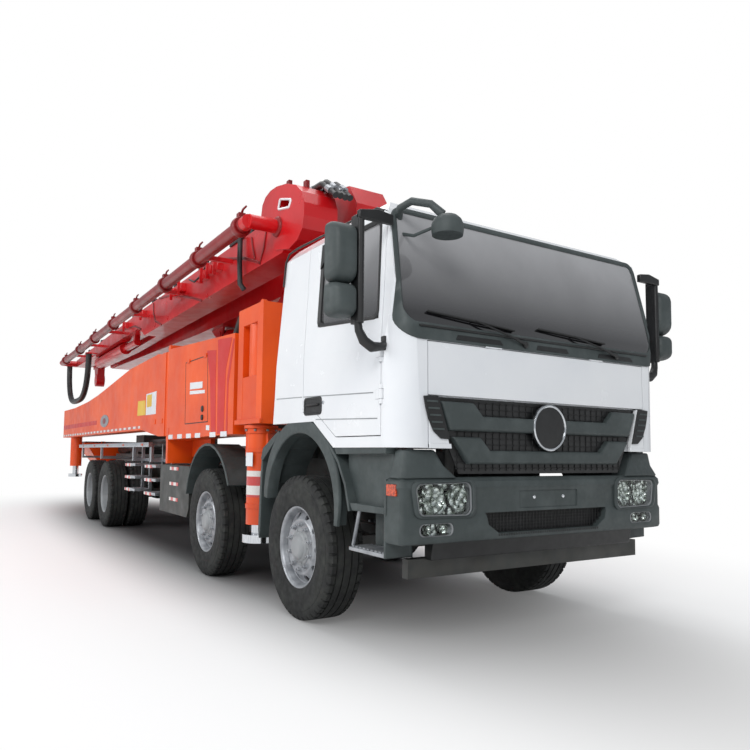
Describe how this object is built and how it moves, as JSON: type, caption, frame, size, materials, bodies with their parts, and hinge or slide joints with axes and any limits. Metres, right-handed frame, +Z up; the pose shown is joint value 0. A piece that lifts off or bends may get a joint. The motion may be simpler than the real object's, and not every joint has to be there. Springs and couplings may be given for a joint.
{
  "type": "concrete pump truck",
  "caption": "Concrete pump truck with a folded multi-section placing boom over its length, a tall cab, side outriggers and an open hopper at the rear.",
  "frame": {"origin": "on the ground under the middle of the overall length and width, wheels resting on z = 0", "axes": "+X forward out of the cab, +Y to the vehicle's left, +Z up"},
  "size_m": [14.57, 3.28, 3.9798],
  "materials": {
    "chassis_grey": "satin",
    "cast_dark": "matte",
    "cab_white": "gloss",
    "window_glass": "clear",
    "dark_plastic": "matte",
    "lamp_glass": "gloss",
    "interior_grey": "matte",
    "orange_paint": "gloss",
    "silver_rail": "satin",
    "boom_red": "gloss",
    "hose_rubber": "matte",
    "chrome_rod": "polished",
    "tyre_rubber": "matte"
  },
  "bodies": {
    "truck": {"chassis_frame": "chassis_grey", "subframe": "chassis_grey", "engine_block": "cast_dark", "front_axles": "chassis_grey", "rear_bogie": "chassis_grey", "cab_shell": "cab_white", "windshield": "window_glass", "bumper": "dark_plastic", "lamps": "lamp_glass", "cab_interior": "interior_grey", "mirrors": "dark_plastic", "fenders": "dark_plastic", "side_housings": "orange_paint", "pivot_posts": "orange_paint", "hopper": "orange_paint", "hopper_rim": "orange_paint", "pump_unit": "chassis_grey", "tanks": "chassis_grey", "side_guards": "silver_rail"},
    "front_panel": {"front_flap": "cab_white", "grille": "dark_plastic"},
    "grate": {"hopper_grate": "chassis_grey"},
    "slewing_base": {"turret": "boom_red"},
    "arm_1": {"boom_arm_1": "boom_red"},
    "arm_2": {"boom_arm_2": "boom_red"},
    "arm_3": {"boom_arm_3": "boom_red", "boom_hose": "hose_rubber"},
    "arm_4": {"boom_arm_4": "boom_red"},
    "arm_5": {"boom_arm_5": "boom_red"},
    "lift_tube": {"lift_barrel": "boom_red"},
    "lift_ram": {"lift_rod": "chrome_rod"},
    "cab_door_left": {"door_left": "cab_white", "door_glass_left": "window_glass"},
    "cab_door_right": {"door_right": "cab_white", "door_glass_right": "window_glass"},
    "steering_knuckle_1_left": {"knuckle_1_left": "chassis_grey"},
    "steering_knuckle_1_right": {"knuckle_1_right": "chassis_grey"},
    "steering_knuckle_2_left": {"knuckle_2_left": "chassis_grey"},
    "steering_knuckle_2_right": {"knuckle_2_right": "chassis_grey"},
    "road_wheel_1_left": {"wheel_1_left": "tyre_rubber"},
    "road_wheel_1_right": {"wheel_1_right": "tyre_rubber"},
    "road_wheel_2_left": {"wheel_2_left": "tyre_rubber"},
    "road_wheel_2_right": {"wheel_2_right": "tyre_rubber"},
    "road_wheel_3_left": {"wheel_3_left": "tyre_rubber"},
    "road_wheel_3_right": {"wheel_3_right": "tyre_rubber"},
    "road_wheel_4_left": {"wheel_4_left": "tyre_rubber"},
    "road_wheel_4_right": {"wheel_4_right": "tyre_rubber"},
    "front_outrigger_left": {"front_leg_left": "orange_paint", "lifting_ear_left": "orange_paint"},
    "front_jack_left": {"front_foot_left": "chrome_rod"},
    "rear_outrigger_left": {"rear_leg_left": "orange_paint"},
    "rear_jack_left": {"rear_foot_left": "chrome_rod"},
    "front_outrigger_right": {"front_leg_right": "orange_paint", "lifting_ear_right": "orange_paint"},
    "front_jack_right": {"front_foot_right": "chrome_rod"},
    "rear_outrigger_right": {"rear_leg_right": "orange_paint"},
    "rear_jack_right": {"rear_foot_right": "chrome_rod"}
  },
  "joints": [
    {"name": "front_panel_hinge", "type": "hinge", "parent": "truck", "child": "front_panel", "pos_m": [7.047, 0, 1.95], "axis": [0, -1, 0], "range_deg": [0, 80]},
    {"name": "grate_hinge", "type": "hinge", "parent": "truck", "child": "grate", "pos_m": [-5.045, 0, 1.438], "axis": [0, 1, 0], "range_deg": [0, 85]},
    {"name": "door_hinge_left", "type": "hinge", "parent": "truck", "child": "cab_door_left", "pos_m": [6.858, 1.25, 1.75], "axis": [0, 0, -1], "range_deg": [0, 65]},
    {"name": "door_hinge_right", "type": "hinge", "parent": "truck", "child": "cab_door_right", "pos_m": [6.858, -1.25, 1.75], "axis": [0, 0, 1], "range_deg": [0, 65]},
    {"name": "steer_1_left", "type": "hinge", "parent": "truck", "child": "steering_knuckle_1_left", "pos_m": [5.665, 0.94, 0.54], "axis": [0, 0, 1], "range_deg": [-35, 35]},
    {"name": "steer_1_right", "type": "hinge", "parent": "truck", "child": "steering_knuckle_1_right", "pos_m": [5.665, -0.94, 0.54], "axis": [0, 0, 1], "range_deg": [-35, 35]},
    {"name": "steer_2_left", "type": "hinge", "parent": "truck", "child": "steering_knuckle_2_left", "pos_m": [3.565, 0.94, 0.54], "axis": [0, 0, 1], "range_deg": [-26.25, 26.25]},
    {"name": "steer_2_right", "type": "hinge", "parent": "truck", "child": "steering_knuckle_2_right", "pos_m": [3.565, -0.94, 0.54], "axis": [0, 0, 1], "range_deg": [-26.25, 26.25]},
    {"name": "wheel_spin_1_left", "type": "hinge", "parent": "steering_knuckle_1_left", "child": "road_wheel_1_left", "pos_m": [5.665, 1.08, 0.54], "axis": [0, 1, 0], "continuous": true},
    {"name": "wheel_spin_1_right", "type": "hinge", "parent": "steering_knuckle_1_right", "child": "road_wheel_1_right", "pos_m": [5.665, -1.08, 0.54], "axis": [0, 1, 0], "continuous": true},
    {"name": "wheel_spin_2_left", "type": "hinge", "parent": "steering_knuckle_2_left", "child": "road_wheel_2_left", "pos_m": [3.565, 1.08, 0.54], "axis": [0, 1, 0], "continuous": true},
    {"name": "wheel_spin_2_right", "type": "hinge", "parent": "steering_knuckle_2_right", "child": "road_wheel_2_right", "pos_m": [3.565, -1.08, 0.54], "axis": [0, 1, 0], "continuous": true},
    {"name": "wheel_spin_3_left", "type": "hinge", "parent": "truck", "child": "road_wheel_3_left", "pos_m": [-1.485, 0.935, 0.54], "axis": [0, 1, 0], "continuous": true},
    {"name": "wheel_spin_3_right", "type": "hinge", "parent": "truck", "child": "road_wheel_3_right", "pos_m": [-1.485, -0.935, 0.54], "axis": [0, 1, 0], "continuous": true},
    {"name": "wheel_spin_4_left", "type": "hinge", "parent": "truck", "child": "road_wheel_4_left", "pos_m": [-2.835, 0.935, 0.54], "axis": [0, 1, 0], "continuous": true},
    {"name": "wheel_spin_4_right", "type": "hinge", "parent": "truck", "child": "road_wheel_4_right", "pos_m": [-2.835, -0.935, 0.54], "axis": [0, 1, 0], "continuous": true},
    {"name": "slew", "type": "hinge", "parent": "truck", "child": "slewing_base", "pos_m": [2.915, 0, 1.95], "axis": [0, 0, 1], "range_deg": [-180, 180]},
    {"name": "boom_1", "type": "hinge", "parent": "slewing_base", "child": "arm_1", "pos_m": [3.715, 0, 3.34], "axis": [0, 1, 0], "range_deg": [0, 85]},
    {"name": "boom_2", "type": "hinge", "parent": "arm_1", "child": "arm_2", "pos_m": [-6.535, 0, 3.54], "axis": [0, -1, 0], "range_deg": [0, 180]},
    {"name": "boom_3", "type": "hinge", "parent": "arm_2", "child": "arm_3", "pos_m": [4.515, -0.72, 3.41], "axis": [0, 1, 0], "range_deg": [0, 180]},
    {"name": "boom_4", "type": "hinge", "parent": "arm_3", "child": "arm_4", "pos_m": [-7.185, -0.4, 3.36], "axis": [0, -1, 0], "range_deg": [0, 180]},
    {"name": "boom_5", "type": "hinge", "parent": "arm_4", "child": "arm_5", "pos_m": [2.915, -0.4, 3.65], "axis": [0, 1, 0], "range_deg": [0, 180]},
    {"name": "lift_swing", "type": "hinge", "parent": "slewing_base", "child": "lift_tube", "pos_m": [2.765, 0, 2.55], "axis": [0, 1, 0], "range_deg": [0, 83.2]},
    {"name": "lift_stroke", "type": "slide", "parent": "lift_tube", "child": "lift_ram", "axis": [-0.9766, 0, 0.2149], "range_m": [0, 1.675]},
    {"name": "front_leg_slide_left", "type": "slide", "parent": "truck", "child": "front_outrigger_left", "axis": [0.4695, 0.8829, 0], "range_m": [0, 1.4]},
    {"name": "front_jack_slide_left", "type": "slide", "parent": "front_outrigger_left", "child": "front_jack_left", "axis": [0, 0, -1], "range_m": [0, 0.455]},
    {"name": "rear_leg_swing_left", "type": "hinge", "parent": "truck", "child": "rear_outrigger_left", "pos_m": [2.015, 1.1, 1.91], "axis": [0, 0, -1], "range_deg": [0, 85]},
    {"name": "rear_jack_slide_left", "type": "slide", "parent": "rear_outrigger_left", "child": "rear_jack_left", "axis": [0, 0, -1], "range_m": [0, 0.68]},
    {"name": "front_leg_slide_right", "type": "slide", "parent": "truck", "child": "front_outrigger_right", "axis": [0.4695, -0.8829, 0], "range_m": [0, 1.4]},
    {"name": "front_jack_slide_right", "type": "slide", "parent": "front_outrigger_right", "child": "front_jack_right", "axis": [0, 0, -1], "range_m": [0, 0.455]},
    {"name": "rear_leg_swing_right", "type": "hinge", "parent": "truck", "child": "rear_outrigger_right", "pos_m": [2.015, -1.1, 1.91], "axis": [0, 0, 1], "range_deg": [0, 85]},
    {"name": "rear_jack_slide_right", "type": "slide", "parent": "rear_outrigger_right", "child": "rear_jack_right", "axis": [0, 0, -1], "range_m": [0, 0.68]}
  ],
  "couplings": [
    {"joint": "steer_1_right", "follows": "steer_1_left", "ratio": 1},
    {"joint": "steer_2_left", "follows": "steer_1_left", "ratio": 0.75},
    {"joint": "steer_2_right", "follows": "steer_1_left", "ratio": 0.75},
    {"joint": "lift_swing", "follows": "boom_1", "ratio": 0.97541},
    {"joint": "lift_stroke", "follows": "boom_1", "m_per_rad": 1.1233}
  ]
}
